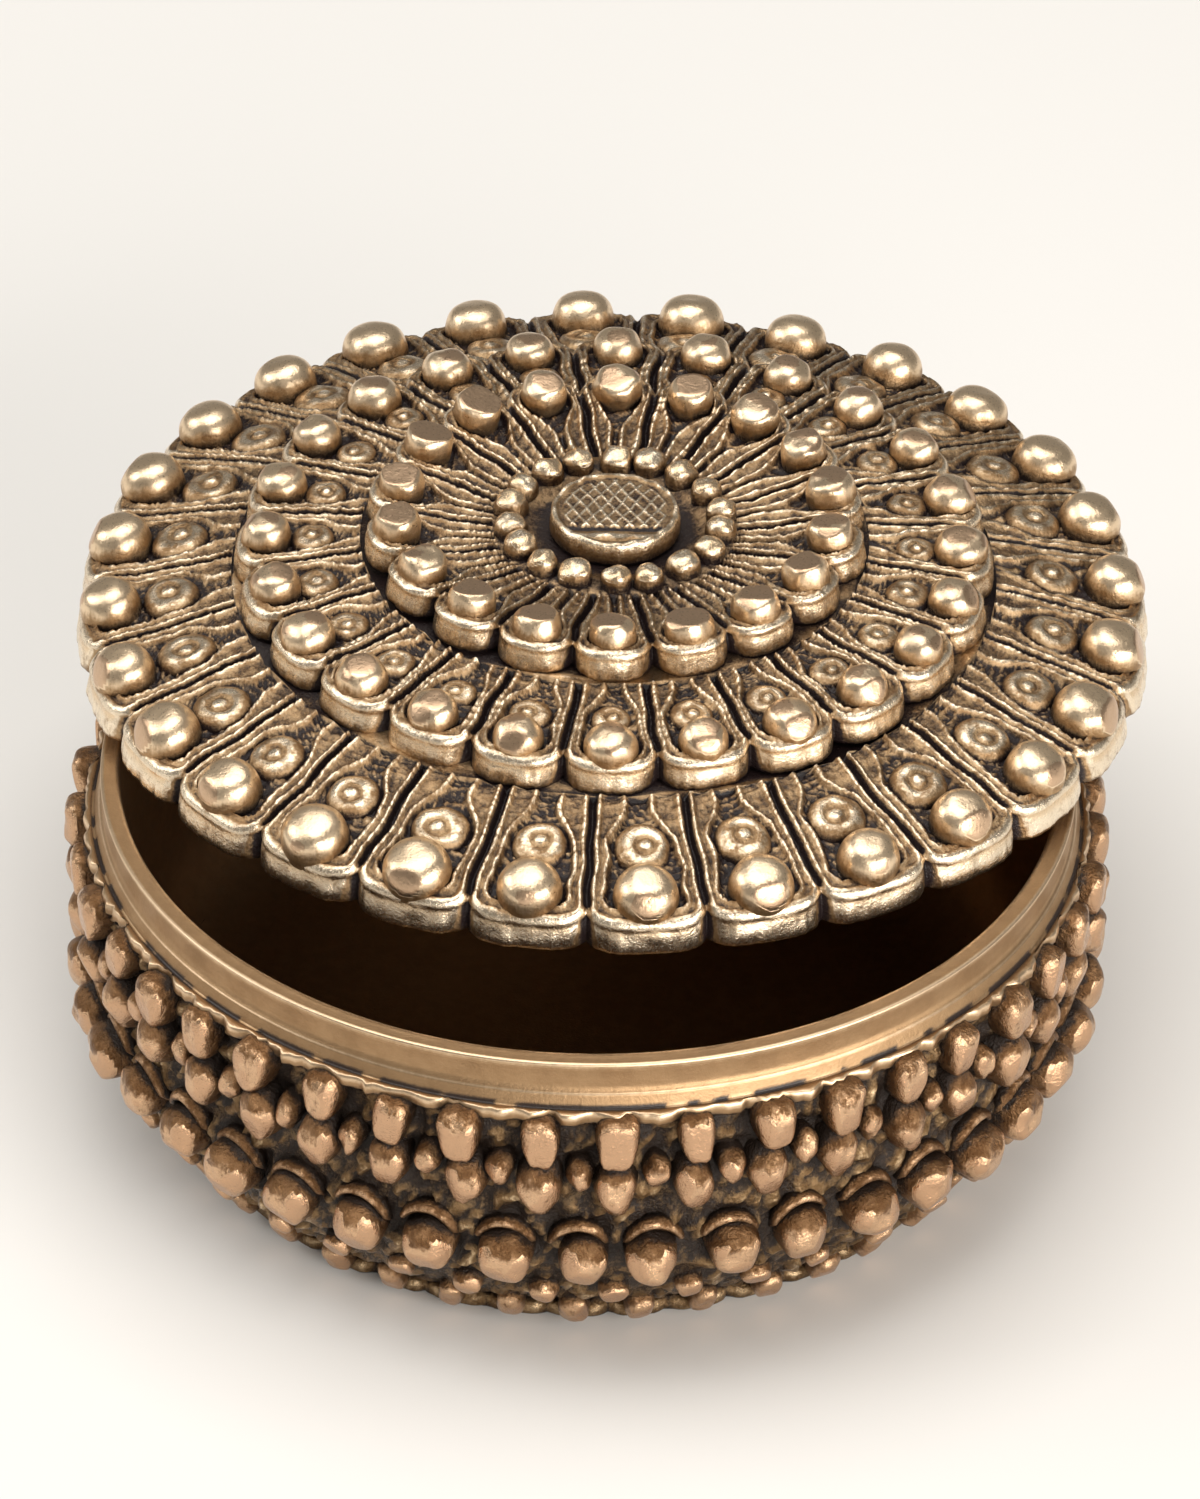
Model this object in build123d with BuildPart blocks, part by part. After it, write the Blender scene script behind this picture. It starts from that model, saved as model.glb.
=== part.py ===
"""Kumkum box: a studded round box of cast brass with a loose lid shaped as a three-tier lotus.

The origin is at the middle of the foot, on the surface that the box stands on, and +Z is up.
The lid lies ajar: its register rests on the collar, and the lid is pushed towards +Y.
All lengths are in millimetres and all angles are in degrees.
"""

import os
from collections import namedtuple
from math import atan2, cos, degrees, hypot, pi, radians, sin, tan

from build123d import *

# Bowl: a turned collar on a ledge, a studded wall, and a belly that draws in to the foot
bore_radius = 32.4
collar_wall = 1.4
collar_top = 26.0
ledge_top = 22.7
ledge_width = 1.3
ledge_thickness = 1.0
wall_thickness = 1.8
shoulder_height = 8.4
shoulder_inset = 0.5
belly_height = 4.2
belly_inset = 3.2
foot_radius = 28.5
foot_notch = 0.6
foot_thickness = 1.2
floor_thickness = 1.6
floor_radius = 24.5
hollow_low_rise = 1.8
hollow_low_width = 3.5
hollow_high_rise = 4.8
hollow_high_width = 6.4
hollow_rise = 8.5
hollow_step = 0.2

# Rows of studs round the bowl, one stud for each flat of the wall
stud_count = 42
stud_root = 1.6
stud_sink = 1.0
peg_width = 2.3
peg_tip_width = 1.3
peg_reach = 0.8
peg_drop = 3.2
peg_top_gap = 0.2
small_stud_sides = 4
small_stud_width = 1.7
small_stud_height = 2.2
small_stud_reach = 1.4
small_stud_taper = 12
small_stud_z = 17.8
upper_stud_sides = 5
upper_stud_width = 2.5
upper_stud_height = 3.9
upper_stud_reach = 2.1
upper_stud_taper = 16
upper_stud_z = 16.6
large_stud_sides = 6
large_stud_width = 3.2
large_stud_height = 3.8
large_stud_reach = 2.8
large_stud_taper = 20
large_stud_z = 10.5
arch_band = 0.5
arch_reach = 1.4
arch_gap = 0.2
arch_rise = 0.9
arch_foot = 0.6
lower_bead_sides = 4
lower_bead_width = 1.7
lower_bead_height = 1.6
lower_bead_reach = 1.2
lower_bead_taper = 14
lower_bead_z = 6.4
foot_peg_sides = 4
foot_peg_width = 1.5
foot_peg_height = 2.0
foot_peg_reach = 0.9
foot_peg_taper = 10
foot_peg_z = 2.7

# Lid underside: the register drops into the collar with this clearance when the box is shut
register_clearance = 0.5
register_height = 1.0
register_width = 3.4
dish_depth = 2.2
dish_draft = 40

# Lid tiers: how far each petal's tip stands from the axis, its notches, and its edge and root heights
lid_overhang = 4.2
lower_count = 28
lower_turn = 4.2
lower_notch = 1.2
lower_edge = 2.3
lower_root_height = 5.2
middle_tip = 27.0
middle_count = 24
middle_turn = 0.0
middle_notch = 1.4
middle_edge = 2.2
middle_root_height = 3.0
top_tip = 18.0
top_count = 18
top_turn = 10.0
top_notch = 1.5
top_edge = 2.4
top_root_radius = 9.0
top_root_height = 1.0
tier_margin = 0.2

# Relief on the petals: a raised border round a sunk bed, and a groove between petals
border = 0.85
bed_depth = 0.65
bed_end = 0.5
bed_arch = 0.8
groove_depth = 0.5
groove_width = 0.5

# Studs in the beds, the eyes behind them, and the beads and boss in the middle
rim_stud_inset = 2.9
rim_stud_gap = 0.55
rim_stud_height = 2.7
middle_stud_inset = 2.7
middle_stud_gap = 0.3
middle_stud_height = 2.3
top_stud_inset = 2.3
top_stud_gap = 0.15
top_stud_height = 2.5
lower_eye_radius = 1.7
middle_eye_radius = 1.25
eye_height = 0.55
eye_gap = 0.15
rim_stud_sides = 8
stud_sides = 6
bead_sides = 5
bead_count = 18
bead_radius = 0.95
bead_height = 1.5
bead_circle = 7.4
boss_sides = 12
boss_radius = 4.6
boss_height = 1.6

moat_radius = 6.3
moat_depth = 0.5

# Corners of one petal's edge and of one scallop of the foot: share of its width, share of its notch
petal_corners = ((-0.5, 1.0), (-0.26, 0.0), (0.26, 0.0))
foot_corners = ((-0.5, 1.0), (0.0, 0.0))

# How much of a nugget's height is a straight foot, and how much of its radius its top draws in
rim_stud_foot = 0.35
rim_stud_draw = 0.5
inner_stud_draw = 0.35
bead_draw = 0.4
eye_draw = 0.15
boss_foot = 0.4
boss_draw = 0.16

# Where the lid lies
lid_shift_x = 1.5
lid_shift_y = 14.8
lid_rest_gap = 0.05

wall_radius = bore_radius + wall_thickness
collar_radius = bore_radius + collar_wall
ledge_radius = wall_radius + ledge_width
ledge_bottom = ledge_top - ledge_thickness
floor_top = foot_thickness + floor_thickness
half_step = 180 / stud_count
wall_profile = (
    (foot_thickness, foot_radius - foot_notch),
    (belly_height, wall_radius - belly_inset),
    (shoulder_height, wall_radius - shoulder_inset),
    (ledge_bottom, wall_radius),
)
hollow_profile = (
    (floor_top, floor_radius),
    (floor_top + hollow_low_rise, floor_radius + hollow_low_width),
    (floor_top + hollow_high_rise, floor_radius + hollow_high_width),
    (floor_top + hollow_rise, bore_radius - hollow_step),
)
register_radius = bore_radius - register_clearance
dish_radius = register_radius - register_width
lower_tip = collar_radius + lid_overhang
lower_root = middle_tip + tier_margin
middle_root = top_tip + tier_margin
lower_base = 0
middle_base = lower_root_height
top_base = middle_base + middle_root_height
rim_stud_circle = lower_tip - rim_stud_inset
middle_stud_circle = middle_tip - middle_stud_inset
top_stud_circle = top_tip - top_stud_inset
lid_height = collar_top + lid_rest_gap + register_height
lid_seat = Plane(origin=(lid_shift_x, lid_shift_y, lid_height))

Tier = namedtuple("Tier", "count turn tip notch edge root root_height base")
lower = Tier(
    lower_count, lower_turn, lower_tip, lower_notch, lower_edge, lower_root, lower_root_height, lower_base
)
middle = Tier(
    middle_count,
    middle_turn,
    middle_tip,
    middle_notch,
    middle_edge,
    middle_root,
    middle_root_height,
    middle_base,
)
top = Tier(top_count, top_turn, top_tip, top_notch, top_edge, top_root_radius, top_root_height, top_base)


def wall_at(height):
    """How far the flats of the wall stand from the axis at a height."""
    for (low, low_radius), (high, high_radius) in zip(wall_profile, wall_profile[1:]):
        if height <= high:
            return low_radius + (high_radius - low_radius) * (height - low) / (high - low)
    return wall_radius


def narrowing_body(profile):
    """A body with flats that narrows down a profile. It is drawn upside down, then turned over."""
    top = profile[-1][0]
    with BuildPart() as upturned:
        for (low, low_flat), (high, high_flat) in zip(profile, profile[1:]):
            with BuildSketch(Plane.XY.offset(top - high)):
                RegularPolygon(high_flat, stud_count, major_radius=False, rotation=half_step)
            extrude(amount=high - low, taper=degrees(atan2(high_flat - low_flat, high - low)))
    with BuildPart(Plane(origin=(0, 0, top), z_dir=(0, 0, -1))) as body:
        add(upturned.part)
    return body.part


def radial_plane(radius, height):
    """A plane square to +X, with its own x to the side and its own y up."""
    return Plane(origin=(radius, 0, height), x_dir=(0, 1, 0), z_dir=(1, 0, 0))


def oval(sides, width, height):
    """The corners of a flat-sided outline of a given width and height, with a corner at its top."""
    angles = [pi / 2 + 2 * pi * side / sides for side in range(sides)]
    return [(width / 2 * cos(angle), height / 2 * sin(angle)) for angle in angles]


def wall_stud(sides, width, height, reach, taper, stud_z, turn):
    """One nugget with filed faces, cut at the back to the wall. It is as wide and high as stated there."""
    spread = 2 * stud_sink * tan(radians(taper)) / cos(pi / sides)
    with BuildPart() as upright:
        with BuildSketch(Plane.XY.offset(-stud_sink)):
            Polygon(*oval(sides, width + spread, height + spread), align=None)
        extrude(amount=stud_sink + reach, taper=taper)
    with BuildPart() as stud:
        with Locations(radial_plane(wall_at(stud_z), stud_z)):
            add(upright.part)
        add(wall.part, rotation=(0, 0, turn), mode=Mode.SUBTRACT)
    return stud.part


def bed_half_width(count, radius):
    """Half the room between the borders of a petal, at a distance from the axis."""
    return (2 * pi * radius / count - groove_width) / 2 - border


def petal_face(tier, depth=0.0, turned_out=1.0):
    """The sloping face of the petal on +X: its origin at the tip, its x inwards along the slope."""
    tilt = atan2(tier.root_height - tier.edge, (tier.tip - tier.root) * turned_out)
    origin = (tier.tip * turned_out, 0, tier.edge)
    face = Plane(origin, x_dir=(-cos(tilt), 0, sin(tilt)), z_dir=(sin(tilt), 0, cos(tilt)))
    return face.offset(-depth)


def along_petal(tier, radius):
    """The distance down a petal's slope from its tip to a radius."""
    slope = hypot(tier.tip - tier.root, tier.root_height - tier.edge)
    return slope * (tier.tip - radius) / (tier.tip - tier.root)


def lobed_outline(count, tip, notch, corners):
    """The corners of a round edge with one lobe for each petal. Each corner is a share of its width."""
    pitch = 2 * pi / count
    polar = [(tip - drop * notch, (lobe + share) * pitch) for lobe in range(count) for share, drop in corners]
    return [(radius * cos(angle), radius * sin(angle)) for radius, angle in polar]


def mirrored(half):
    """A closed outline from the points of its +Y half."""
    return [*half, *((x, -y) for x, y in reversed(half))]


def petal_tier(tier):
    """A solid tier of petals round its own axis, with its underside at height 0."""
    length = along_petal(tier, tier.root)
    half_pitch = pi / tier.count
    full = max(tier.edge, tier.root_height)
    arch_width = bed_half_width(tier.count, tier.tip - (tier.tip - tier.root) / 4)
    bed_half = (
        (border, bed_end * arch_width),
        (border + bed_arch * arch_width, arch_width),
        (length, bed_half_width(tier.count, tier.root)),
    )
    with BuildPart() as bed:
        with BuildSketch(petal_face(tier, bed_depth)):
            Polygon(*mirrored(bed_half), align=None)
        extrude(amount=2 * bed_depth)
    joint = petal_face(tier, 0, 1 / cos(half_pitch))
    across_joint = Plane(joint.from_local_coords((-tier.notch, 0)), joint.y_dir, joint.x_dir)
    with BuildPart() as groove:
        with BuildSketch(across_joint):
            Polygon(
                (-groove_width, groove_depth),
                (groove_width, groove_depth),
                (0, -groove_depth),
                align=None,
            )
        extrude(amount=tier.notch + length)
    face_half = ((0, tier.tip * tan(half_pitch)), (length, tier.root * tan(half_pitch)))
    with BuildPart() as above_petal:
        with BuildSketch(petal_face(tier)):
            Polygon(*mirrored(face_half), align=None)
        extrude(amount=full, dir=(0, 0, 1))
    with BuildPart() as petals:
        with BuildSketch():
            Polygon(*lobed_outline(tier.count, tier.tip, tier.notch, petal_corners), align=None)
        extrude(amount=full)
        with PolarLocations(0, tier.count):
            add(above_petal.part, mode=Mode.SUBTRACT)
            add(bed.part, mode=Mode.SUBTRACT)
        with PolarLocations(0, tier.count, start_angle=degrees(half_pitch)):
            add(groove.part, mode=Mode.SUBTRACT)
    return petals.part


def nugget(face, distance, radius, height, sides, foot, draw):
    """A stud, eye or bead on a face, with its middle at a distance along the face's x."""
    foot_height = foot * height
    taper = degrees(atan2(draw * radius * cos(pi / sides), height - foot_height))
    with BuildPart() as stud:
        with BuildSketch(face.offset(foot_height)) as outline:
            with Locations((distance, 0)):
                RegularPolygon(radius, sides, rotation=180 / sides)
        extrude(amount=height - foot_height, taper=taper)
        if foot_height:
            extrude(outline.sketch, amount=-foot_height)
    return stud.part


def ring_of(piece, label, count, seat=Plane.XY, turn=0.0):
    """Names and writes separate copies of a piece, evenly spaced round the axis of its seat."""
    with BuildPart(seat) as ring:
        with PolarLocations(0, count, start_angle=turn):
            add(piece, clean=False)
    ring.part.label = label
    export_step(ring.part, f"parts/{label}.step")


os.makedirs("parts", exist_ok=True)

# The cast body with flats on its wall and its ledge, solid, as the studs see it
with BuildPart() as wall:
    add(narrowing_body(wall_profile))
    with BuildSketch(Plane.XY.offset(ledge_bottom)):
        RegularPolygon(ledge_radius, stud_count, major_radius=False, rotation=half_step)
    extrude(amount=ledge_thickness)

# The bowl: that body with its turned collar and bore, and the hollow's curved bottom as cast
bore_depth = collar_top - floor_top - hollow_rise
with BuildPart() as bowl:
    add(wall.part)
    with BuildSketch(Plane.XY.offset(ledge_top)):
        Circle(collar_radius)
    extrude(amount=collar_top - ledge_top)
    with BuildSketch(Plane.XY.offset(collar_top - bore_depth)):
        Circle(bore_radius)
    extrude(amount=bore_depth, mode=Mode.SUBTRACT)
    add(narrowing_body(hollow_profile), mode=Mode.SUBTRACT)
bowl.part.label = "bowl"
export_step(bowl.part, "parts/bowl.step")

# The foot: a flat plate with a scalloped edge
with BuildPart() as foot_plate:
    with BuildSketch():
        Polygon(*lobed_outline(stud_count, foot_radius, foot_notch, foot_corners), align=None)
    extrude(amount=foot_thickness)
foot_plate.part.label = "foot_plate"
export_step(foot_plate.part, "parts/foot_plate.step")

# Flat pegs that hang over the edge of the ledge
peg_top = ledge_top - peg_top_gap
peg_half = ((peg_top, peg_width / 2), (peg_top - peg_drop, peg_tip_width / 2))
with BuildPart() as peg:
    with BuildSketch(Plane.YZ.offset(wall_radius - stud_root)):
        Polygon(*((y, z) for z, y in mirrored(peg_half)), align=None)
    extrude(amount=stud_root + ledge_width + peg_reach)
    add(wall.part, mode=Mode.SUBTRACT)
ring_of(peg.part, "ledge_pegs", stud_count)

# Rows of nuggets down the wall. The small and large ones stand over the wall's corners
small = (small_stud_width, small_stud_height, small_stud_reach, small_stud_taper, small_stud_z)
upper = (upper_stud_width, upper_stud_height, upper_stud_reach, upper_stud_taper, upper_stud_z)
large = (large_stud_width, large_stud_height, large_stud_reach, large_stud_taper, large_stud_z)
bead = (lower_bead_width, lower_bead_height, lower_bead_reach, lower_bead_taper, lower_bead_z)
foot_peg = (foot_peg_width, foot_peg_height, foot_peg_reach, foot_peg_taper, foot_peg_z)
wall_rows = (
    ("small_studs", small_stud_sides, small, half_step),
    ("upper_studs", upper_stud_sides, upper, 0),
    ("large_studs", large_stud_sides, large, half_step),
    ("lower_beads", lower_bead_sides, bead, 0),
    ("foot_pegs", foot_peg_sides, foot_peg, half_step),
)
for label, sides, sizes, turn in wall_rows:
    ring_of(wall_stud(sides, *sizes, turn), label, stud_count, turn=turn)

# A thin gabled ridge over each large stud
arch_side = large_stud_width / 2 + arch_gap
arch_crown = large_stud_height / 2 + arch_rise
with BuildPart() as arch:
    with BuildSketch(radial_plane(wall_at(large_stud_z) - stud_root, large_stud_z)):
        Polygon(
            (arch_side + arch_band, arch_foot),
            (0, arch_crown + arch_band),
            (-arch_side - arch_band, arch_foot),
            (-arch_side, arch_foot),
            (0, arch_crown),
            (arch_side, arch_foot),
            align=None,
        )
    extrude(amount=stud_root + arch_reach)
    add(wall.part, rotation=(0, 0, half_step), mode=Mode.SUBTRACT)
ring_of(arch.part, "stud_arches", stud_count, turn=half_step)

# Lid: a turned register ring, open to a dish under the lower tier that has a flat for each petal
with BuildPart() as lid_register:
    with BuildSketch():
        Circle(register_radius)
        RegularPolygon(dish_radius, lower.count, major_radius=False, mode=Mode.SUBTRACT)
    extrude(amount=-register_height)
ring_of(lid_register.part, "lid_register", 1, lid_seat)

with BuildPart() as lower_petals:
    add(petal_tier(lower))
    with BuildSketch():
        RegularPolygon(dish_radius, lower.count, major_radius=False)
    extrude(amount=dish_depth, taper=dish_draft, mode=Mode.SUBTRACT)
ring_of(lower_petals.part, "lower_petals", 1, lid_seat, lower.turn)
ring_of(petal_tier(middle), "middle_petals", 1, lid_seat.offset(middle.base), middle.turn)

# The top tier dips towards its middle, where a moat goes round the boss
moat_floor = Plane.XY.offset(top.root_height - moat_depth)
with BuildPart() as top_petals:
    add(petal_tier(top))
    with BuildSketch(Plane.XY.offset(top.root_height)):
        RegularPolygon(top.root, top.count, major_radius=False, rotation=180 / top.count)
    extrude(amount=top.edge, mode=Mode.SUBTRACT)
    with BuildSketch(moat_floor):
        RegularPolygon(moat_radius, top.count, rotation=180 / top.count)
    extrude(amount=moat_depth, mode=Mode.SUBTRACT)
ring_of(top_petals.part, "top_petals", 1, lid_seat.offset(top.base), top.turn)

# A stud near each petal's tip, as wide as the bed leaves room for
rim_form = (rim_stud_height, rim_stud_sides, rim_stud_foot, rim_stud_draw)
middle_form = (middle_stud_height, stud_sides, 0, inner_stud_draw)
top_form = (top_stud_height, stud_sides, 0, inner_stud_draw)
stud_rows = (
    ("rim_studs", lower, rim_stud_circle, rim_stud_gap, rim_form),
    ("middle_studs", middle, middle_stud_circle, middle_stud_gap, middle_form),
    ("top_studs", top, top_stud_circle, top_stud_gap, top_form),
)
for label, tier, circle, gap, form in stud_rows:
    radius = bed_half_width(tier.count, circle) - gap
    stud = nugget(petal_face(tier, bed_depth), along_petal(tier, circle), radius, *form)
    ring_of(stud, label, tier.count, lid_seat.offset(tier.base), tier.turn)

# A flat eye behind each stud of the two lower tiers
eye_rows = (
    ("lower_eyes", lower, rim_stud_circle, rim_stud_gap, lower_eye_radius),
    ("middle_eyes", middle, middle_stud_circle, middle_stud_gap, middle_eye_radius),
)
for label, tier, stud_circle, gap, radius in eye_rows:
    circle = stud_circle - (bed_half_width(tier.count, stud_circle) - gap) - eye_gap - radius
    bed_floor = petal_face(tier, bed_depth)
    eye = nugget(bed_floor, along_petal(tier, circle), radius, eye_height, stud_sides, 0, eye_draw)
    ring_of(eye, label, tier.count, lid_seat.offset(tier.base), tier.turn)

# A ring of beads on the middle floor, and the boss that stands in the moat
middle_floor = Plane.XY.offset(top.root_height)
middle_bead = nugget(middle_floor, bead_circle, bead_radius, bead_height, bead_sides, 0, bead_draw)
ring_of(middle_bead, "bead_ring", bead_count, lid_seat.offset(top.base), top.turn)
boss = nugget(moat_floor, 0, boss_radius, boss_height + moat_depth, boss_sides, boss_foot, boss_draw)
ring_of(boss, "seed_boss", 1, lid_seat.offset(top.base), top.turn)
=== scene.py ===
import math
import random

import bmesh
import bpy
import numpy as np
from mathutils import Matrix, Vector, noise


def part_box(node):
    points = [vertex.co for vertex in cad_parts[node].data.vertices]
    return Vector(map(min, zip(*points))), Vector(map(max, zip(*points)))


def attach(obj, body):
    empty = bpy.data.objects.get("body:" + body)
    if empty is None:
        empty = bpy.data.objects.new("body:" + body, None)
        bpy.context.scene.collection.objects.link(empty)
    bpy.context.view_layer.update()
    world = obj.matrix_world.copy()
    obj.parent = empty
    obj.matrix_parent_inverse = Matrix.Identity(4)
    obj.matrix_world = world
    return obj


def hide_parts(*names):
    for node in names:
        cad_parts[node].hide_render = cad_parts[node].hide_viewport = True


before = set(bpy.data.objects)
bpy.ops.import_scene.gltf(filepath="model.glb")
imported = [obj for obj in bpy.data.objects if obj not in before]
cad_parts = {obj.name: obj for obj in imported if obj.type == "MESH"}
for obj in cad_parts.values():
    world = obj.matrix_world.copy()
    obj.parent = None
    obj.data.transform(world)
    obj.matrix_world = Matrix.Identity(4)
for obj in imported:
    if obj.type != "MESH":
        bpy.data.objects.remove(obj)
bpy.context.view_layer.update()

# The bowl: a thick casting of yellow brass, open at the top. Its collar and ledge are turned on a lathe
# and toned golden brown. The wall under the ledge is left rough from the mould, with near-black patina.
mm = 0.001
full_turn = 2 * math.pi
stud_count = 42
pitch = full_turn / stud_count
steps_per_stud = 12
bowl_steps = stud_count * steps_per_stud

bowl_low, bowl_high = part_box("bowl")
foot_top = bowl_low.z
collar_top = bowl_high.z
ledge_radius = 35.2 * mm
ledge_top = 22.7 * mm
ledge_thickness = 1.0 * mm
ledge_nicks = 0.6 * mm
nick_length = 1.4
small_nick_length = 0.5
collar_radius = 33.8 * mm
collar_step = 23.65 * mm
collar_flare = 0.45 * mm
collar_hollow = 0.12 * mm
bore_radius = 32.4 * mm
rim_edge = 0.13 * mm
floor_top = 2.8 * mm
floor_radius = 24.5 * mm
innermost = 0.5 * mm
hollow_curve_top = 11.3 * mm
hollow_roundness = 0.8
hollow_curve_rings = 16
bore_rings = 14
floor_rings = 10
wall_ring_count = 42
wall_grain = 1.1 * mm
wall_roughness = 0.8 * mm
deepest_dent = 0.35 * mm

# How far out the wall stands, from the foot up to the ledge
wall_heights = (foot_top, 4.2 * mm, 8.4 * mm, ledge_top - ledge_thickness)
wall_distances = (27.9 * mm, 31.0 * mm, 33.7 * mm, 34.2 * mm)


def wall_at(height):
    """How far out the wall stands at a height."""
    return float(np.interp(height, wall_heights, wall_distances))


def lumps(point, size, seed=0.0):
    """A smooth random value from about -1 to 1 that changes over a given size."""
    return noise.noise(Vector(point) / size + Vector((seed, 2.7 * seed, -1.3 * seed)))


def cast_grain(point, size, seed=0.0):
    """A rougher random value, with finer lumps on the larger ones."""
    return noise.fractal(Vector(point) / size + Vector((seed, -seed, 3.1 * seed)), 0.9, 2.0, 3)


def eased(value, low, high):
    """0 below low, 1 above high and smooth between them."""
    share = min(max((value - low) / (high - low), 0.0), 1.0)
    return share * share * (3 - 2 * share)


def polar(radius, angle, height):
    """A point at a distance from the axis, an angle round it and a height."""
    return Vector((radius * math.cos(angle), radius * math.sin(angle), height))


def metal_piece(name, points, faces, worn, materials, face_materials=None):
    """A smooth mesh. Worn says how rubbed each point is: 0 in a recess, 1 on a crest, 2 on a filed face."""
    mesh = bpy.data.meshes.new(name)
    mesh.from_pydata([tuple(point) for point in points], [], faces)
    shaped = bmesh.new()
    shaped.from_mesh(mesh)
    bmesh.ops.recalc_face_normals(shaped, faces=shaped.faces)
    shaped.to_mesh(mesh)
    shaped.free()
    mesh.shade_smooth()
    for material in materials:
        mesh.materials.append(material)
    if face_materials:
        mesh.polygons.foreach_set("material_index", face_materials)
    mesh.attributes.new("worn", "FLOAT", "POINT").data.foreach_set("value", np.asarray(worn, np.float32))
    piece = bpy.data.objects.new(name, mesh)
    bpy.context.scene.collection.objects.link(piece)
    return piece


def skin(rings):
    """Faces over a stack of rings that have as many points each, closed at both ends."""
    count = len(rings[0])
    faces = [tuple(reversed(range(count)))]
    for low in range(0, count * (len(rings) - 1), count):
        for here in range(count):
            after = (here + 1) % count
            faces.append((low + here, low + after, low + count + after, low + count + here))
    last = count * (len(rings) - 1)
    faces.append(tuple(range(last, last + count)))
    return faces


def ringed_piece(name, rings, worn, materials, face_materials=None):
    """A smooth mesh over a stack of rings."""
    points = [point for ring in rings for point in ring]
    return metal_piece(name, points, skin(rings), worn, materials, face_materials)


def add_node(material, kind, inputs, **settings):
    """A shader node with its settings, and with each input linked or set."""
    made = material.node_tree.nodes.new(kind)
    for setting, value in settings.items():
        setattr(made, setting, value)
    for socket, value in inputs.items():
        if isinstance(value, bpy.types.NodeSocket):
            material.node_tree.links.new(value, made.inputs[socket])
        else:
            made.inputs[socket].default_value = value
    return made


def sum_of(material, value, factor, added):
    """value x factor + added."""
    inputs = {0: value, 1: factor, 2: added}
    return add_node(material, "ShaderNodeMath", inputs, operation="MULTIPLY_ADD").outputs[0]


def ramp_between(material, value, low, high):
    """0 below low and 1 above high, smooth between them."""
    inputs = {"Value": value, "From Min": low, "From Max": high}
    made = add_node(material, "ShaderNodeMapRange", inputs, interpolation_type="SMOOTHSTEP")
    return made.outputs["Result"]


def mixed(material, share, low, high, kind="RGBA"):
    """A colour or a number between two others."""
    made = add_node(material, "ShaderNodeMix", {}, data_type=kind)
    first, result = {"RGBA": (6, 2), "FLOAT": (2, 0)}[kind]
    for index, value in ((0, share), (first, low), (first + 1, high)):
        if isinstance(value, bpy.types.NodeSocket):
            material.node_tree.links.new(value, made.inputs[index])
        else:
            made.inputs[index].default_value = value
    return made.outputs[result]


def grain(material, coordinates, size, detail, roughness):
    """Noise over a given size in metres."""
    inputs = {"Vector": coordinates, "Scale": 1 / size, "Detail": detail, "Roughness": roughness}
    return add_node(material, "ShaderNodeTexNoise", inputs).outputs["Fac"]


def lathe_lines(material, place):
    """Fine rings round the axis, cut by the lathe: noise over the distance out and the height."""
    apart = add_node(material, "ShaderNodeSeparateXYZ", {"Vector": place}).outputs
    flat = add_node(material, "ShaderNodeCombineXYZ", {"X": apart["X"], "Y": apart["Y"]})
    out = add_node(material, "ShaderNodeVectorMath", {0: flat.outputs["Vector"]}, operation="LENGTH")
    along = add_node(material, "ShaderNodeCombineXYZ", {"X": out.outputs["Value"], "Z": apart["Z"]})
    return grain(material, along.outputs["Vector"], 0.16 * mm, 2.0, 0.6)


def file_lines(material, place):
    """Fine upright streaks, scratched by the file."""
    stretched = {"Vector": place, "Scale": (1.0, 1.0, 0.07)}
    stretch = add_node(material, "ShaderNodeMapping", stretched)
    return grain(material, stretch.outputs["Vector"], 0.18 * mm, 2.0, 0.5)


# How much a sheltered spot keeps its patina, how near its shelter stands, how strong the tool marks are,
# how much red, green and blue a stain takes, how matt the patina is and how much its pits dull it
shelter = 0.8
shelter_distance = 1.4 * mm
streaks = 0.3
stain_takes = (0.42, 0.48, 0.54)
patina_dullness = 0.1
pit_dullness = 0.25


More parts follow.
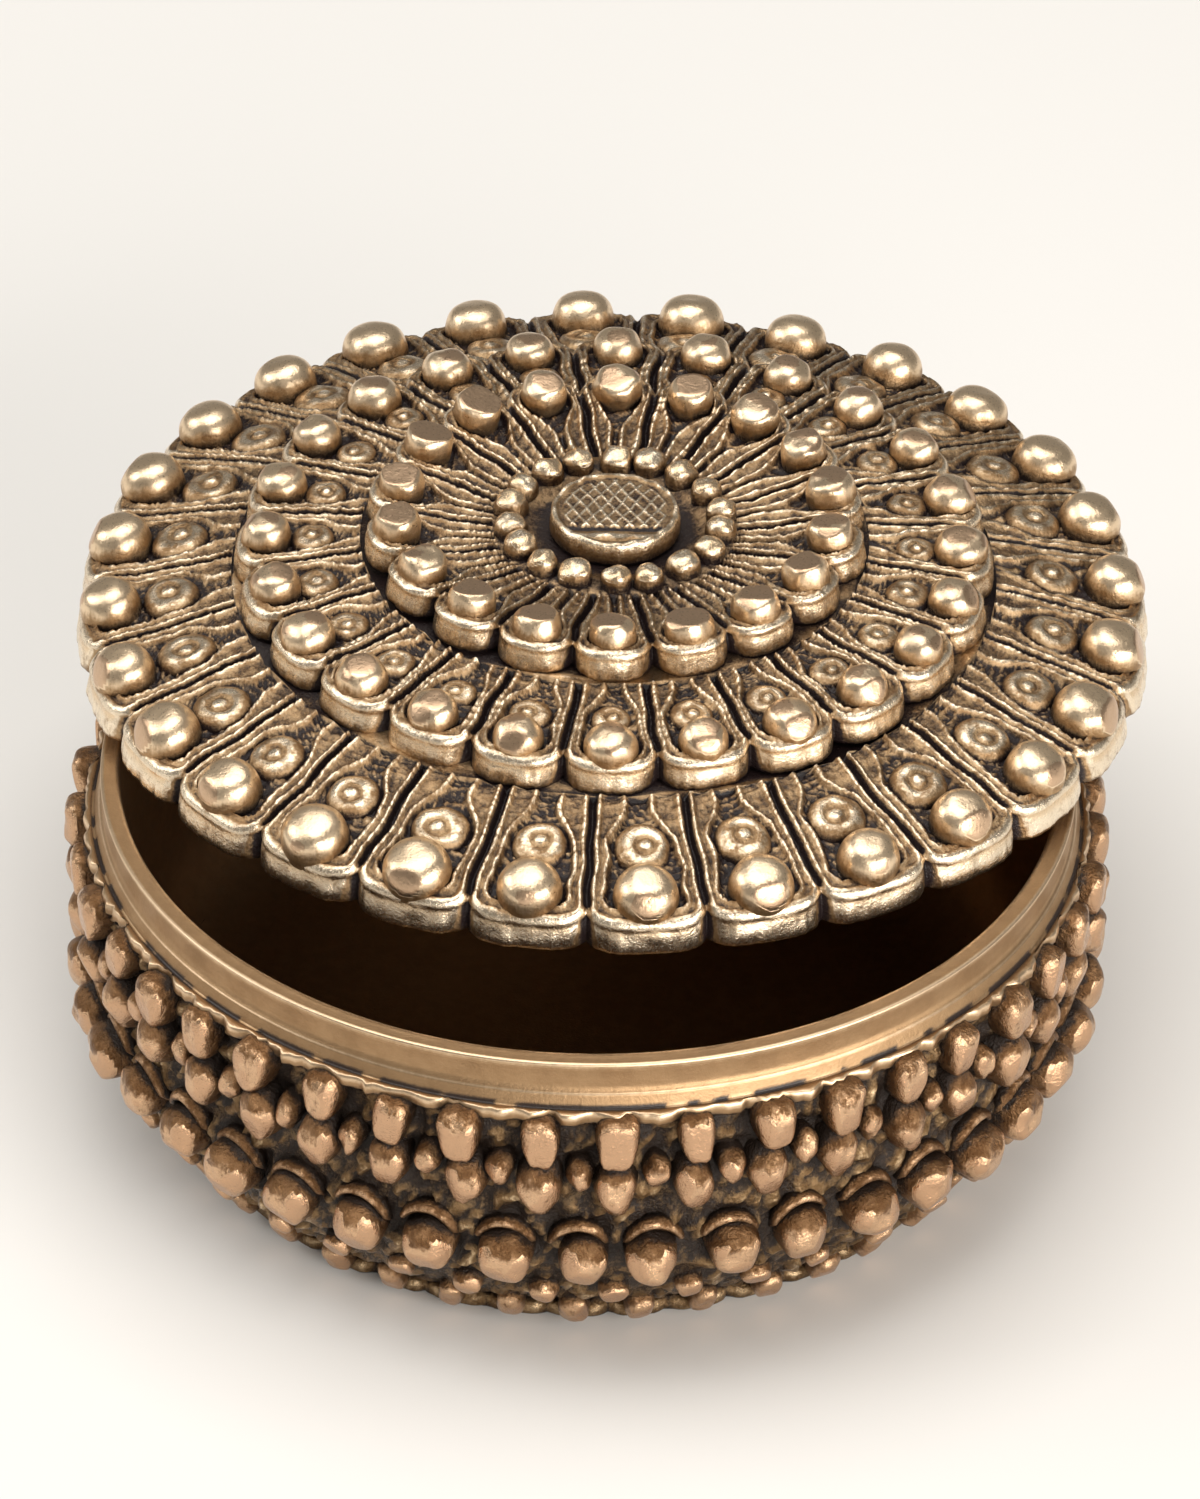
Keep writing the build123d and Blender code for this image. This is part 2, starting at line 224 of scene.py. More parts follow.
def antique_brass(name, crest, body, recess, shine, relief, filed_reflection=None, lines=file_lines, blotch=0.9,
                  speckle=0.3, dirt=0.0):
    """Brass with patina in its hollows, toned metal between, bright rubbed crests and filed faces.

    Blotch and speckle are how strong the large and the fine stains are, and dirt how far they spread.
    Shine is how matt the bare metal is, relief how deep its grain; filed faces get a painted reflection.
    """
    material = bpy.data.materials.new(name)
    material.use_nodes = True
    shader = material.node_tree.nodes["Principled BSDF"]
    place = add_node(material, "ShaderNodeTexCoord", {}).outputs["Object"]
    worn_or_filed = add_node(material, "ShaderNodeAttribute", {}, attribute_name="worn").outputs["Fac"]
    worn = add_node(material, "ShaderNodeMath", {0: worn_or_filed, 1: 1.0}, operation="MINIMUM").outputs[0]
    near = {"Distance": shelter_distance}
    open_sky = add_node(material, "ShaderNodeAmbientOcclusion", near, samples=4).outputs["AO"]
    blotches = grain(material, place, 1.0 * mm, 4.0, 0.65)
    pits = grain(material, place, 0.2 * mm, 3.0, 0.7)
    marks = lines(material, place)

    stains = sum_of(material, pits, speckle, -0.5 * (speckle + blotch + streaks) - dirt - shelter)
    stains = sum_of(material, blotches, blotch, stains)
    stains = sum_of(material, marks, streaks, stains)
    rubbed = sum_of(material, open_sky, shelter, sum_of(material, worn, 1.0, stains))
    bare = ramp_between(material, rubbed, 0.12, 0.36)
    bright = ramp_between(material, rubbed, 0.66, 1.02)

    shade = [(1 - taken * blotch) * part for taken, part in zip(stain_takes, body)] + [1]
    toned = mixed(material, ramp_between(material, blotches, 0.38, 0.62), shade, body)
    metal = mixed(material, bright, toned, crest)
    # Filed faces, marked 2 in worn, take the filed colour: a painted coppery reflection.
    if filed_reflection:
        metal = mixed(material, ramp_between(material, worn_or_filed, 1.35, 1.75), metal, filed_reflection)
    material.node_tree.links.new(mixed(material, bare, recess, metal), shader.inputs["Base Color"])
    material.node_tree.links.new(bare, shader.inputs["Metallic"])
    shader.inputs["Specular IOR Level"].default_value = 0.3

    dullness = mixed(material, bright, shine - 0.02, shine - 0.12, "FLOAT")
    dullness = mixed(material, bare, patina_dullness, dullness, "FLOAT")
    dullness = sum_of(material, pits, pit_dullness, dullness)
    material.node_tree.links.new(dullness, shader.inputs["Roughness"])

    pitting = mixed(material, bright, 1.3, 2 * speckle, "FLOAT")
    height = sum_of(material, marks, streaks, sum_of(material, pits, pitting, 0.0))
    height = sum_of(material, blotches, 1.0, height)
    bump = add_node(material, "ShaderNodeBump", {"Height": height, "Strength": 0.75, "Distance": relief})
    material.node_tree.links.new(bump.outputs["Normal"], shader.inputs["Normal"])
    return material


turned_brass = antique_brass(
    "turned_brass",
    crest=(0.80, 0.60, 0.40, 1),
    body=(0.42, 0.27, 0.145, 1),
    recess=(0.03, 0.020, 0.016, 1),
    shine=0.34,
    relief=0.03 * mm,
    lines=lathe_lines,
    blotch=0.2,
    speckle=0.2,
)
rough_brass = antique_brass(
    "rough_brass",
    crest=(0.82, 0.62, 0.39, 1),
    body=(0.28, 0.18, 0.09, 1),
    recess=(0.020, 0.012, 0.008, 1),
    shine=0.22,
    relief=0.16 * mm,
    speckle=0.4,
)

# Each turned ring of the bowl: distance out, height and how bright it is rubbed
collar_rings = (
    (ledge_radius - 0.25 * mm, ledge_top - ledge_thickness, 0.3),
    (ledge_radius - 0.05 * mm, ledge_top - 0.8 * mm, 0.5),
    (ledge_radius, ledge_top - 0.35 * mm, 0.9),
    (ledge_radius - 0.06 * mm, ledge_top - 0.06 * mm, 1.0),
    (ledge_radius - 0.2 * mm, ledge_top, 0.85),
    (ledge_radius - 0.5 * mm, ledge_top, 0.62),
    (collar_radius + collar_flare + 0.2 * mm, ledge_top - 0.02 * mm, 0.45),
    (collar_radius + collar_flare + 0.06 * mm, ledge_top - 0.1 * mm, 0.0),
    (collar_radius + collar_flare - 0.03 * mm, ledge_top + 0.08 * mm, 0.1),
    (collar_radius + 0.75 * collar_flare, ledge_top + 0.35 * mm, 0.62),
    (collar_radius + 0.35 * collar_flare, collar_step - 0.2 * mm, 0.6),
    (collar_radius + 0.1 * mm, collar_step, 0.95),
    (collar_radius - 0.06 * mm, collar_step + 0.08 * mm, 0.5),
    (collar_radius - collar_hollow, collar_step + 0.6 * mm, 0.62),
    (collar_radius - collar_hollow, collar_top - 0.7 * mm, 0.62),
    (collar_radius - 0.02 * mm, collar_top - 0.2 * mm, 0.8),
    (collar_radius - 0.03 * mm, collar_top - rim_edge / 2, 1.0),
    (collar_radius - rim_edge, collar_top, 1.0),
    (collar_radius - 0.35 * mm, collar_top - 0.02 * mm, 0.62),
    (bore_radius + 0.4 * mm, collar_top - 0.03 * mm, 0.6),
    (bore_radius + rim_edge, collar_top, 0.95),
    (bore_radius + 0.02 * mm, collar_top - rim_edge, 0.95),
    (bore_radius, collar_top - 0.4 * mm, 0.5),
)
hollow_rings = [
    *(
        (bore_radius, height, 0.5)
        for height in np.linspace(collar_top - 1.2 * mm, hollow_curve_top, bore_rings)
    ),
    *(
        (
            floor_radius + (bore_radius - floor_radius) * math.sin(turn),
            hollow_curve_top - (hollow_curve_top - floor_top) * math.cos(turn) ** hollow_roundness,
            0.4,
        )
        for turn in np.linspace(0.48 * math.pi, 0, hollow_curve_rings)
    ),
    *((radius, floor_top, 0.4) for radius in np.linspace(0.96 * floor_radius, innermost, floor_rings)),
]
wall_rings = [
    (wall_at(height), height, 0.2)
    for height in np.linspace(foot_top, ledge_top - ledge_thickness, wall_ring_count)
]


def along_edge(angle, size, row):
    """A smooth random value that changes along the ledge's edge over a size in mm. Each row is another."""
    return lumps(polar(round(ledge_radius / mm), angle, row), size)


bowl_rings = []
bowl_worn = []
for radius, height, worn in [(0.9 * wall_at(foot_top), foot_top, 0.0), *wall_rings]:
    ring = []
    for step in range(bowl_steps):
        point = polar(radius, full_turn * step / bowl_steps, height)
        bulge = wall_roughness * cast_grain(point, wall_grain) * eased(height, foot_top, foot_top + 1 * mm)
        bulge = max(bulge, -deepest_dent)
        ring.append(point * (1 + bulge / radius) - Vector((0, 0, height * bulge / radius)))
        bowl_worn.append(worn + 0.6 * eased(bulge, 0.1 * wall_roughness, 0.4 * wall_roughness))
    bowl_rings.append(ring)
for radius, height, worn in [*collar_rings, *hollow_rings]:
    ring = []
    at_edge = eased(radius, ledge_radius - 0.7 * mm, ledge_radius) * (height < ledge_top + rim_edge)
    in_corner = worn < 0.15
    for step in range(bowl_steps):
        angle = full_turn * step / bowl_steps
        nicks = along_edge(angle, nick_length, 0) + 0.6 * along_edge(angle, small_nick_length, 9)
        ring.append(polar(radius + at_edge * ledge_nicks * (nicks - 0.5), angle, height))
        clean = in_corner * 0.8 * eased(along_edge(angle, 1.8, 30), 0.0, 0.3)
        bowl_worn.append(worn + clean)
    bowl_rings.append(ring)

# The bottom and the wall are rough, and the faces above them are turned
rough_faces = 1 + bowl_steps * (len(wall_rings) + 1)
bowl_faces = 2 + bowl_steps * (len(bowl_rings) - 1)
bowl = ringed_piece(
    "bowl_casting",
    bowl_rings,
    bowl_worn,
    [turned_brass, rough_brass],
    [int(index < rough_faces) for index in range(bowl_faces)],
)
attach(bowl, "base")
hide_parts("bowl")

# The foot: a flat brass plate under the bowl, part of the same casting. Its edge is scalloped by hand,
# one uneven scallop under each stud, and rubbed bright where it wears on the table.
foot_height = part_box("foot_plate")[1].z
foot_radius = 28.45 * mm
scallop_depth = 0.7 * mm
foot_edge = 0.25 * mm

# Each ring of the foot: distance out from its edge, height and how bright it is rubbed
foot_profile = (
    (-2.0 * mm, 0.05 * mm, 0.1),
    (-foot_edge, 0.0, 0.6),
    (0.0, foot_edge, 1.0),
    (0.0, foot_height - foot_edge, 0.95),
    (-foot_edge, foot_height, 1.0),
    (-1.0 * mm, foot_height, 0.3),
    (-3.0 * mm, foot_height, 0.0),
)
foot_rings = []
foot_worn = []
for outwards, height, worn in foot_profile:
    ring = []
    for step in range(bowl_steps):
        angle = full_turn * step / bowl_steps
        across = abs((step / steps_per_stud) % 1 - 0.5)
        uneven = 0.3 + 1.4 * abs(lumps((step // steps_per_stud, 3.3, 0.0), 1.7, 5.0))
        dip = scallop_depth * min(uneven, 1.0) * eased(across, 0.25, 0.5)
        ring.append(polar(foot_radius - dip + outwards, angle, height))
        foot_worn.append(worn * (1 - 0.6 * eased(across, 0.38, 0.5)))
    foot_rings.append(ring)
foot = ringed_piece("foot_plate_cast", foot_rings, foot_worn, [rough_brass])
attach(foot, "base")
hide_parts("foot_plate")

# The rows of studs round the wall: wax nuggets pressed on one by one before casting, then filed so that
# each has a few flat bright faces. Their coppery colour is a painted reflection; patina stays black
# between.
studded_brass = antique_brass(
    "studded_brass",
    crest=(0.66, 0.43, 0.26, 1),
    body=(0.26, 0.145, 0.07, 1),
    recess=(0.020, 0.012, 0.008, 1),
    # The filed faces' coppery colour is a painted reflection.
    filed_reflection=(0.58, 0.36, 0.215, 1),
    shine=0.22,
    relief=0.2 * mm,
)
soft_edge = 0.2 * mm
filing_strays = 0.15


def nugget(width, height, reach, root, filings, chance, dome, lump, taper=0.0, square=2.0, bands=12,
           sides=24, cap=0.15, soft=soft_edge):
    """A filed wax nugget that stands up on z and narrows by a taper towards -y.

    Each filing cuts a nearly flat face: how it leans in x and y, and how deep it goes. Soft is how far
    the filed face rounds over, and cap is how dark the +y end is.
    """
    seed = chance.uniform(0, 90)
    points = []
    for band in range(bands + 1):
        fall = 0.5 * math.pi * (band + 0.4) / (bands + 0.4)
        rise = math.cos(fall)
        for side in range(sides):
            angle = full_turn * side / sides
            x, y = math.cos(angle), math.sin(angle)
            corner = (abs(x) ** square + abs(y) ** square) ** (-1 / square)
            spread = math.sin(fall) ** dome * corner
            narrow = 1 - taper * eased(-y * spread, -0.3, 1.0)
            point = Vector((x * spread * narrow * width / 2, y * spread * height / 2, rise**dome * reach))
            points.append(point * (1 + lump * lumps((x * spread, y * spread, rise), 0.7, seed)))
    worn = []
    for point in points:
        rubbed = 0.5 + 0.5 * eased(point.z / reach, 0.15, 0.85)
        worn.append(rubbed - cap * eased(point.y / height, 0.0, 0.45))
    for lean_x, lean_y, depth in filings:
        lean_x += chance.uniform(-filing_strays, filing_strays)
        lean_y += chance.uniform(-filing_strays, filing_strays)
        normal = Vector((lean_x, lean_y, 1)).normalized()
        farthest = max(point.dot(normal) for point in points)
        limit = farthest * (1 - depth * chance.uniform(0.2, 1.6))
        for index, point in enumerate(points):
            over = point.dot(normal) - limit
            if over > 0:
                points[index] = point - normal * (over - soft * (1 - math.exp(-over / soft)))
                # A filed point is marked 2, where the material paints its filed colour, a painted
                # reflection.
                worn[index] = 2.0
    points += [Vector((point.x, point.y, -root)) for point in points[-sides:]]
    worn += [0.0] * sides
    rings = [points[low : low + sides] for low in range(0, len(points), sides)]
    return rings, worn


def join_rows(name, shapes, material):
    """One piece from many separate closed skins. A shape is its rings in place and how worn they are."""
    points, faces, worn = [], [], []
    for rings, rubbed in shapes:
        start = len(points)
        points += [point for ring in rings for point in ring]
        faces += [tuple(start + index for index in face) for face in skin(rings)]
        worn += rubbed
    return metal_piece(name, points, faces, worn, [material])


def placed(stand, rings):
    """The rings moved to where a stand puts them."""
    return [[stand @ point for point in ring] for ring in rings]


def facing_out(angle, height, out, lean=0.0):
    """Turns a nugget's z to point away from the axis, with its y up, at an angle round the bowl.

    Lean tips it down from level, so that it sits on a wall that slopes.
    """
    radial = Vector((math.cos(angle), math.sin(angle), 0))
    side = Vector((-math.sin(angle), math.cos(angle), 0))
    turned = Matrix((side, Vector((0, 0, 1)), radial)).transposed().to_4x4()
    spot = Matrix.Translation(radial * out + Vector((0, 0, height)))
    return spot @ turned @ Matrix.Rotation(lean, 4, "X")


def wall_lean(height):
    """How far a nugget tips down where the wall slopes. It follows most of the slope, not all of it."""
    slope_followed = 0.7
    rise = 0.5 * mm
    return slope_followed * math.atan2(wall_at(height + rise) - wall_at(height - rise), 2 * rise)


def wall_row(name, node, seed, offset, height, sizes, sink, **shape):
    """A ring of nuggets on the wall, each a little different, in the place of one CAD row.

    Offset shifts the ring by a share of the spacing. Sizes are a nugget's width, height and reach.
    """
    chance = random.Random(seed)
    width, tall, reach = sizes
    shapes = []
    for place in range(stud_count):
        angle = pitch * (place + offset) + chance.uniform(-0.06, 0.06) * pitch
        size = chance.uniform(0.9, 1.08)
        level = height + chance.uniform(-0.18, 0.18) * mm
        own_tall = tall * chance.uniform(0.94, 1.05)
        rings, worn = nugget(width * size, own_tall, reach * size, sink, chance=chance, **shape)
        stand = facing_out(angle, level, wall_at(level), wall_lean(level))
        stand = stand @ Matrix.Rotation(chance.uniform(-0.14, 0.14), 4, "Z")
        shapes.append((placed(stand, rings), worn))
    row = join_rows(name, shapes, studded_brass)
    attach(row, "base")
    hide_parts(node)


large_stud_level = 10.3 * mm
wall_row(
    "ledge_pegs_filed", "ledge_pegs", seed=11, offset=0.0, height=20.5 * mm,
    sizes=(2.8 * mm, 3.9 * mm, 2.12 * mm), sink=0.8 * mm,
    filings=((0.0, -0.12, 0.14), (0.9, 0.0, 0.1), (-0.9, 0.0, 0.1)),
    taper=0.25, square=3.8, dome=0.45, lump=0.08, cap=0.25,
)
wall_row(
    "small_studs_filed", "small_studs", seed=12, offset=0.5, height=17.7 * mm,
    sizes=(2.15 * mm, 2.8 * mm, 1.8 * mm), sink=0.8 * mm,
    filings=((0.3, -0.4, 0.16), (-0.7, 0.0, 0.1)),
    taper=0.4, dome=0.75, lump=0.16, cap=0.3,
)
wall_row(
    "upper_studs_filed", "upper_studs", seed=13, offset=0.0, height=16.7 * mm,
    sizes=(3.1 * mm, 4.6 * mm, 2.3 * mm), sink=0.8 * mm,
    filings=((0.0, -0.45, 0.17), (0.9, -0.2, 0.12), (-0.9, 0.0, 0.1)),
    taper=0.28, dome=0.7, lump=0.13, cap=0.55,
)
wall_row(
    "large_studs_filed", "large_studs", seed=14, offset=0.5, height=large_stud_level,
    sizes=(3.8 * mm, 4.2 * mm, 2.55 * mm), sink=0.8 * mm,
    filings=((0.0, -0.6, 0.14), (0.8, -0.1, 0.1), (-0.8, 0.1, 0.1)),
    taper=0.1, square=2.2, dome=0.62, bands=14, sides=30, lump=0.11, cap=0.55,
)
wall_row(
    "lower_beads_filed", "lower_beads", seed=15, offset=0.0, height=6.3 * mm,
    sizes=(2.1 * mm, 2.1 * mm, 1.4 * mm), sink=0.7 * mm,
    filings=((0.0, -0.2, 0.25), (0.6, 0.3, 0.12)),
    dome=0.75, lump=0.12,
)
wall_row(
    "foot_pegs_filed", "foot_pegs", seed=16, offset=0.5, height=2.35 * mm,
    sizes=(2.0 * mm, 3.1 * mm, 1.4 * mm), sink=0.9 * mm,
    filings=((0.0, -0.1, 0.16), (0.8, 0.0, 0.12)),
    square=3.0, dome=0.6, lump=0.1, cap=0.0,
)

# The arches: a thin wax thread bent over each large stud like an eyelid, cast with the wall. Its crest
# is rubbed bright, and the gap under it keeps its patina.
arch_side = 2.05 * mm
arch_crown = 2.6 * mm
arch_thickness = 0.9 * mm
arch_reach = 1.5 * mm
arch_sink = 0.4 * mm
arch_wall_level = 13 * mm
arch_sections = 15
arch_sides = 8

arch_shapes = []
arch_chance = random.Random(17)
for place in range(stud_count):
    angle = pitch * (place + 0.5) + arch_chance.uniform(-0.03, 0.03) * pitch
    crown = arch_crown * arch_chance.uniform(0.92, 1.06)
    lean = arch_chance.uniform(-0.12, 0.12)
    rings, worn = [], []
    for section in range(arch_sections):
        along = section / (arch_sections - 1)
        bend = math.pi * (0.08 + 0.84 * along) + lean
        to_crown = math.sin(math.pi * along)
        thick = arch_thickness * (0.35 + 0.65 * to_crown**0.5) * arch_chance.uniform(0.88, 1.1)
        reach = arch_reach * (0.3 + 0.7 * to_crown**0.4)
        middle = Vector((arch_side * math.cos(bend), crown * math.sin(bend), -arch_sink))
        outward = Vector((math.cos(bend), math.sin(bend), 0))
        ring = []
        for side in range(arch_sides):
            round_it = full_turn * side / arch_sides
            rise = Vector((0, 0, reach * (0.5 + 0.5 * math.sin(round_it))))
            ring.append(middle + outward * (0.5 * thick * math.cos(round_it)) + rise)
            worn.append(0.25 + 0.65 * eased(math.sin(round_it), 0.3, 1.0))
        rings.append(ring)
    stand = facing_out(angle, large_stud_level, wall_at(arch_wall_level))
    arch_shapes.append((placed(stand, rings), worn))
arches = join_rows("stud_arches_cast", arch_shapes, studded_brass)
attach(arches, "base")
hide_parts("stud_arches")

# The lid's underside: a plain turned ring, the register, that drops into the collar when the box is
# shut. It is cast with the lid and faced on the lathe.
register_low, register_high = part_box("lid_register")
lid_x = (register_low.x + register_high.x) / 2
lid_y = (register_low.y + register_high.y) / 2
lid_middle = Vector((lid_x, lid_y, register_high.z))
register_radius = (register_high.x - register_low.x) / 2
register_height = register_high.z - register_low.z
dish_radius = register_radius - 3.4 * mm
lid_steps = 336

# Each ring of the register: distance out, height and how bright it is rubbed. Its last ring joins its
# first, under the lid.
register_profile = (
    (dish_radius, 0.0, 0.3),
    (dish_radius, -register_height + rim_edge, 0.6),
    (dish_radius + rim_edge, -register_height, 0.9),
    (register_radius - rim_edge, -register_height, 0.9),
    (register_radius, -register_height + rim_edge, 0.9),
    (register_radius, 0.0, 0.5),
)
register_points = [
    polar(radius, full_turn * step / lid_steps, height)
    for radius, height, worn in register_profile
    for step in range(lid_steps)
]
register_faces = skin([range(lid_steps)] * len(register_profile))[1:-1]
last_ring = lid_steps * (len(register_profile) - 1)
for step in range(lid_steps):
    after = (step + 1) % lid_steps
    register_faces.append((last_ring + step, last_ring + after, after, step))
register_worn = [worn for radius, height, worn in register_profile for step in range(lid_steps)]
register = metal_piece(
    "lid_register_turned", register_points, register_faces, register_worn, [turned_brass]
)
register.location = lid_middle
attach(register, "lid")
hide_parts("lid_register")

# The lid's three tiers of lotus petals. Each petal has a raised border bent round its tip, a sunk bed
# inside the border and a groove to the next petal. The crests are rubbed bright and the beds stay dark.
petal_brass = antique_brass(
    "petal_brass",
    crest=(0.93, 0.79, 0.60, 1),
    body=(0.48, 0.325, 0.18, 1),
    recess=(0.018, 0.011, 0.011, 1),
    # The filed colour, on filed faces and near the tops of the petal walls, is a painted reflection.
    filed_reflection=(0.80, 0.61, 0.40, 1),
    shine=0.24,
    relief=0.10 * mm,
)
clear_of_box = 0.02 * mm
root_tuck = 0.4 * mm
bed_depth = 0.7 * mm
bed_slope_in = 0.1 * mm
bed_slope_out = 0.18 * mm
crumple_height = 0.16 * mm
crumple_size = 0.6 * mm
crease_height = 0.24 * mm
crease_size = 0.9 * mm
groove_depth = 0.5 * mm
groove_half_width = 0.19 * mm
groove_end = 0.6 * mm
groove_wander = 0.4 * mm
straight_end = 2.0 * mm
outer_ridge = 0.46 * mm
inner_ridge = 0.22 * mm
ridge_half_width = 0.2 * mm
ridge_height = 0.32 * mm
ridge_rise = 0.1 * mm
bend_radius = 2.0 * mm
closing_length = 3.0 * mm
tip_strays = 0.2 * mm
tip_round = 0.5 * mm
smooth_tip = 0.4 * mm
wall_slant = 0.3 * mm
wall_inset = 0.2 * mm
wall_swell = 0.1 * mm
wall_file_marks = 0.09 * mm
wall_dents = 0.12 * mm
wall_rows_down = 8


class Tier:
    """The sizes of one tier, about the lid's axis.

    Turn is the angle of its first petal. Notch and squareness shape a tip between two grooves. Root and
    root_height say where the petals end towards the middle and how high, and edge is the height of their
    tips. Behind the distance called closes, the borders widen until only a slit of the bed is left.
    """

    def __init__(self, node, count, turn, notch, squareness, root, root_height, edge, border, closes, slit,
                 steps, rows):
        low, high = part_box(node)
        self.node, self.count, self.turn = node, count, turn
        self.notch, self.squareness = notch, squareness
        self.root, self.root_height, self.edge = root, root_height, edge
        self.border, self.closes, self.slit = border, closes, slit
        self.steps, self.rows = steps, rows
        self.tip = (high.x - low.x) / 2 - clear_of_box
        self.base = low.z - lid_middle.z

    def slope(self, radius):
        """The height of the petals' crests above the tier's own underside."""
        return self.edge + (self.root_height - self.edge) * (self.tip - radius) / (self.tip - self.root)

    def half_petal(self, radius):
        """Half a petal's width at a distance from the axis."""
        return math.pi * radius / self.count

    def tilt(self):
        """How steeply the petals rise towards the middle."""
        return math.atan2(self.root_height - self.edge, self.tip - self.root)


def bump_at(distance, half_width):
    """1 at no distance and soon 0 on either side."""
    return math.exp(-((distance / half_width) ** 2))


def petal_relief(tier, radius, tip_here, share, petal):
    """How much a spot on a petal is raised, how worn it is and how far it is in the bed.

    Share is the spot's place across the petal, from -0.5 at one groove to 0.5 at the next.
    """
    share += 0.05 * lumps((radius / mm, petal, 0), 4.0, 2.0) * (1 - abs(2 * share)) * 2
    half = tier.half_petal(radius)
    side = half * (1 - abs(2 * share))
    front = tip_here - radius
    corner = max(bend_radius - side, 0), max(bend_radius - front, 0)
    inward = bend_radius - math.hypot(*corner) if corner[0] and corner[1] else min(side, front)
    uneven = lumps((radius / mm, petal, share), 1.6, 7.0)
    border = tier.border * (1 + 0.2 * uneven)
    border += max(half - tier.slit - border, 0) * eased(tier.closes - radius, 0.0, closing_length)
    ridge = ridge_half_width * (1 + 0.3 * uneven)
    ridges = max(bump_at(inward - border + inner_ridge, ridge), bump_at(side - outer_ridge, ridge))
    in_bed = eased(inward, border - bed_slope_in, border + bed_slope_out)
    in_groove = bump_at(side, groove_half_width) * eased(front, 0.0, groove_end)
    hollow = (1 - ridges) * (1 - in_bed) * eased(front, 0.2 * mm, 0.9 * mm)
    lift = ridge_rise - ridge_height * hollow - bed_depth * in_bed - groove_depth * in_groove
    lift -= tip_round * (1 - eased(front, 0.0, 1.3 * tip_round)) ** 2
    worn = 1.0 - 0.66 * hollow
    worn = worn + (0.1 - worn) * in_bed - 0.8 * in_groove
    return lift, worn, in_bed


def petal_top(tier, places, row):
    """One ring over the petals, from their roots at row 0 to their tips, and how worn it is."""
    inwards = 1 - (row / tier.rows) ** 1.25
    ring, worn = [], []
    for petal, share, angle, lobe in places:
        tip_edge = lobe - wall_slant
        radius = tip_edge + (tier.root - root_tuck - tip_edge) * inwards
        lift, rubbed, in_bed = petal_relief(tier, radius, tip_edge, share, petal)
        groove = (petal + (share > 0)) % tier.count
        wander = groove_wander * lumps((radius / mm, 1.7 * groove, tier.count), 3.0) * (2 * share) ** 2
        wander *= eased(tip_edge - radius, 0.0, straight_end)
        point = polar(radius, angle + wander / radius, tier.slope(radius) + lift)
        crumple = cast_grain((0.6 * radius, angle * radius, 0), crumple_size, tier.count)
        fold = lumps((0.7 * radius, angle * radius, 0), crease_size, 1.7 * tier.count)
        crease = max(1 - 3.5 * abs(fold), 0)
        rough = crumple_height * crumple + crease_height * in_bed * crease
        point.z += rough * eased(tip_edge - radius, 0.0, smooth_tip)
        ring.append(point)
        worn.append(rubbed + in_bed * (0.3 * crumple + 0.65 * crease * crease))
    return ring, worn


def petal_wall(tier, places, edge_ring, down):
    """One ring down the petals' front walls, with wear and painted reflection. Down is 0 at top, 1 at foot.
    """
    ring, worn = [], []
    for (petal, share, angle, lobe), edge in zip(places, edge_ring):
        along = angle * tier.tip / mm
        file_mark = wall_file_marks * lumps((along, 0.25 * down, 0), 0.4, 9.0)
        dent = wall_dents * lumps((along, 2.5 * down, 3), 1.6, 4.0)
        swell = wall_swell * math.sin(math.pi * down) ** 0.5 * (down < 1) - wall_inset
        slant = wall_slant * (1 - down) ** 1.6
        reach = lobe + swell - slant + (file_mark + dent) * eased(down, 0.0, 0.3)
        ring.append(polar(reach, angle, edge.z * (1 - down)))
        in_notch = eased(abs(2 * share), 0.72, 1.0)
        # Near its top the wall takes the filed colour, a painted reflection; it fades towards the foot.
        worn.append((1.9 - 1.1 * down) * (1 - in_notch))
    return ring, worn


def petal_tier(name, tier, inside, under):
    """The tier as one closed skin: its middle, its petals, its scalloped wall and its underside."""
    columns = tier.count * tier.steps
    places = []
    for column in range(columns):
        petal, step = divmod(column, tier.steps)
        even = step / tier.steps - 0.5
        share = 0.5 * (0.9 * even + 0.55 * math.sin(math.pi * even))
        angle = tier.turn + full_turn * (petal + share) / tier.count
        own_tip = tier.tip - tip_strays * (1 + lumps((petal, 0.5, 0.5), 0.77, 3.0))
        lobe = own_tip - tier.notch * abs(2 * share) ** tier.squareness
        places.append((petal, share, angle, lobe))
    rings = []
    worn = []
    for radius, height, rubbed in inside:
        rings.append([polar(radius, angle, height) for petal, share, angle, lobe in places])
        worn += [rubbed] * columns
    for row in range(tier.rows + 1):
        ring, rubbed = petal_top(tier, places, row)
        rings.append(ring)
        worn += rubbed
    edge_ring = rings[-1]
    for row in range(1, wall_rows_down + 1):
        ring, rubbed = petal_wall(tier, places, edge_ring, row / wall_rows_down)
        rings.append(ring)
        worn += rubbed
    for radius, height, rubbed in under:
        rings.append([polar(min(radius, lobe), angle, height) for petal, share, angle, lobe in places])
        worn += [rubbed] * columns
    piece = ringed_piece(name, rings, worn, [petal_brass])
    piece.location = lid_middle + Vector((0, 0, tier.base))
    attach(piece, "lid")
    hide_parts(tier.node)


lower = Tier(
    "lower_petals", count=28, turn=math.radians(4.2), notch=1.25 * mm, squareness=4.5,
    root=27.2 * mm, root_height=5.2 * mm, edge=2.3 * mm,
    border=1.3 * mm, closes=30.6 * mm, slit=0.7 * mm, steps=48, rows=60,
)
middle = Tier(
    "middle_petals", count=24, turn=0.0, notch=1.6 * mm, squareness=3.4,
    root=18.2 * mm, root_height=3.0 * mm, edge=2.2 * mm,
    border=1.05 * mm, closes=21.0 * mm, slit=0.5 * mm, steps=44, rows=54,
)
top = Tier(
    "top_petals", count=18, turn=math.radians(10), notch=1.8 * mm, squareness=3.0,
    root=9.0 * mm, root_height=1.0 * mm, edge=2.4 * mm,
    border=1.0 * mm, closes=14.3 * mm, slit=0.22 * mm, steps=44, rows=60,
)

